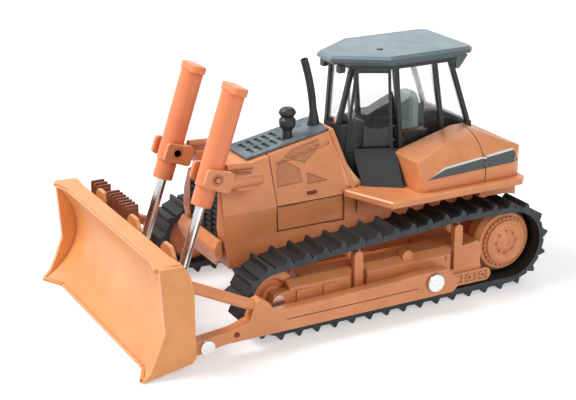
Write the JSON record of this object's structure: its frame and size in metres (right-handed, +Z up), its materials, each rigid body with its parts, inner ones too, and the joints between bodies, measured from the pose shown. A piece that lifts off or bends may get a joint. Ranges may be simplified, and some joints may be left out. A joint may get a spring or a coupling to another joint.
{
  "type": "scale-model crawler bulldozer",
  "caption": "Die-cast scale model of a crawler bulldozer with a lifting semi-U blade, twin lift cylinders, glazed cab and rear tank body.",
  "frame": {"origin": "on the ground under the middle of the model's overall box", "axes": "+Z up, -Y towards the blade, +X towards the machine's left side"},
  "size_m": [0.0704, 0.1196, 0.0625],
  "materials": {
    "black_plastic": "matte",
    "bright_steel": "polished",
    "paint_orange": "satin",
    "grey_plastic": "matte",
    "cylinder_orange": "satin",
    "seat_plastic": "matte",
    "track_rubber": "matte",
    "clear_plastic": "clear"
  },
  "bodies": {
    "machine": {"air_intake": "black_plastic", "arm_rivet_left": "bright_steel", "arm_rivet_right": "bright_steel", "cab_frame": "black_plastic", "cab_roof": "grey_plastic", "carrier_rollers_left": "paint_orange", "carrier_rollers_right": "paint_orange", "chassis": "paint_orange", "console": "black_plastic", "deck": "paint_orange", "door_left": "black_plastic", "door_right": "black_plastic", "exhaust_stack": "black_plastic", "front_guard": "paint_orange", "grille": "black_plastic", "hitch": "paint_orange", "hood": "paint_orange", "hood_insert": "grey_plastic", "idler_axle_left": "bright_steel", "idler_axle_right": "bright_steel", "idler_left": "paint_orange", "idler_right": "paint_orange", "rear_shell": "paint_orange", "seat": "seat_plastic", "sprocket_left": "paint_orange", "sprocket_right": "paint_orange", "tank_left": "paint_orange", "tank_right": "paint_orange", "track_frame_left": "paint_orange", "track_frame_right": "paint_orange", "track_left": "track_rubber", "track_right": "track_rubber", "underdeck": "paint_orange", "windows": "clear_plastic", "work_lamps": "black_plastic", "yoke_left": "paint_orange", "yoke_right": "paint_orange"},
    "blade": {"blade_brackets": "paint_orange", "blade_end_left": "paint_orange", "blade_end_right": "paint_orange", "blade_pin_left": "bright_steel", "blade_pin_right": "bright_steel", "cutting_edge": "paint_orange", "mouldboard": "paint_orange", "push_arm_left": "paint_orange", "push_arm_right": "paint_orange", "strut_left": "paint_orange", "strut_right": "paint_orange"},
    "barrel_left": {"cylinder_cap_left": "cylinder_orange", "cylinder_left": "cylinder_orange"},
    "barrel_right": {"cylinder_cap_right": "cylinder_orange", "cylinder_right": "cylinder_orange"},
    "rod_left": {"rod_left": "bright_steel"},
    "rod_right": {"rod_right": "bright_steel"}
  },
  "joints": [
    {"name": "blade_lift", "type": "hinge", "parent": "machine", "child": "blade", "pos_m": [0, 0.0207, 0.0084], "axis": [-1, 0, 0], "range_deg": [0, 18]},
    {"name": "barrel_swing_left", "type": "hinge", "parent": "machine", "child": "barrel_left", "pos_m": [0.0118, -0.0312, 0.039], "axis": [-1, 0, 0], "range_deg": [-0.5, 15.09]},
    {"name": "rod_slide_left", "type": "slide", "parent": "barrel_left", "child": "rod_left", "axis": [0, 0.3239, 0.9461], "range_m": [-0.0002, 0.019]},
    {"name": "barrel_swing_right", "type": "hinge", "parent": "machine", "child": "barrel_right", "pos_m": [-0.0118, -0.0312, 0.039], "axis": [-1, 0, 0], "range_deg": [-0.5, 15.09]},
    {"name": "rod_slide_right", "type": "slide", "parent": "barrel_right", "child": "rod_right", "axis": [0, 0.3239, 0.9461], "range_m": [-0.0002, 0.019]}
  ],
  "couplings": [
    {"joint": "barrel_swing_left", "follows": "blade_lift", "ratio": 0.81042},
    {"joint": "rod_slide_left", "follows": "blade_lift", "m_per_rad": 0.059857},
    {"joint": "barrel_swing_right", "follows": "blade_lift", "ratio": 0.81042},
    {"joint": "rod_slide_right", "follows": "blade_lift", "m_per_rad": 0.059857}
  ]
}
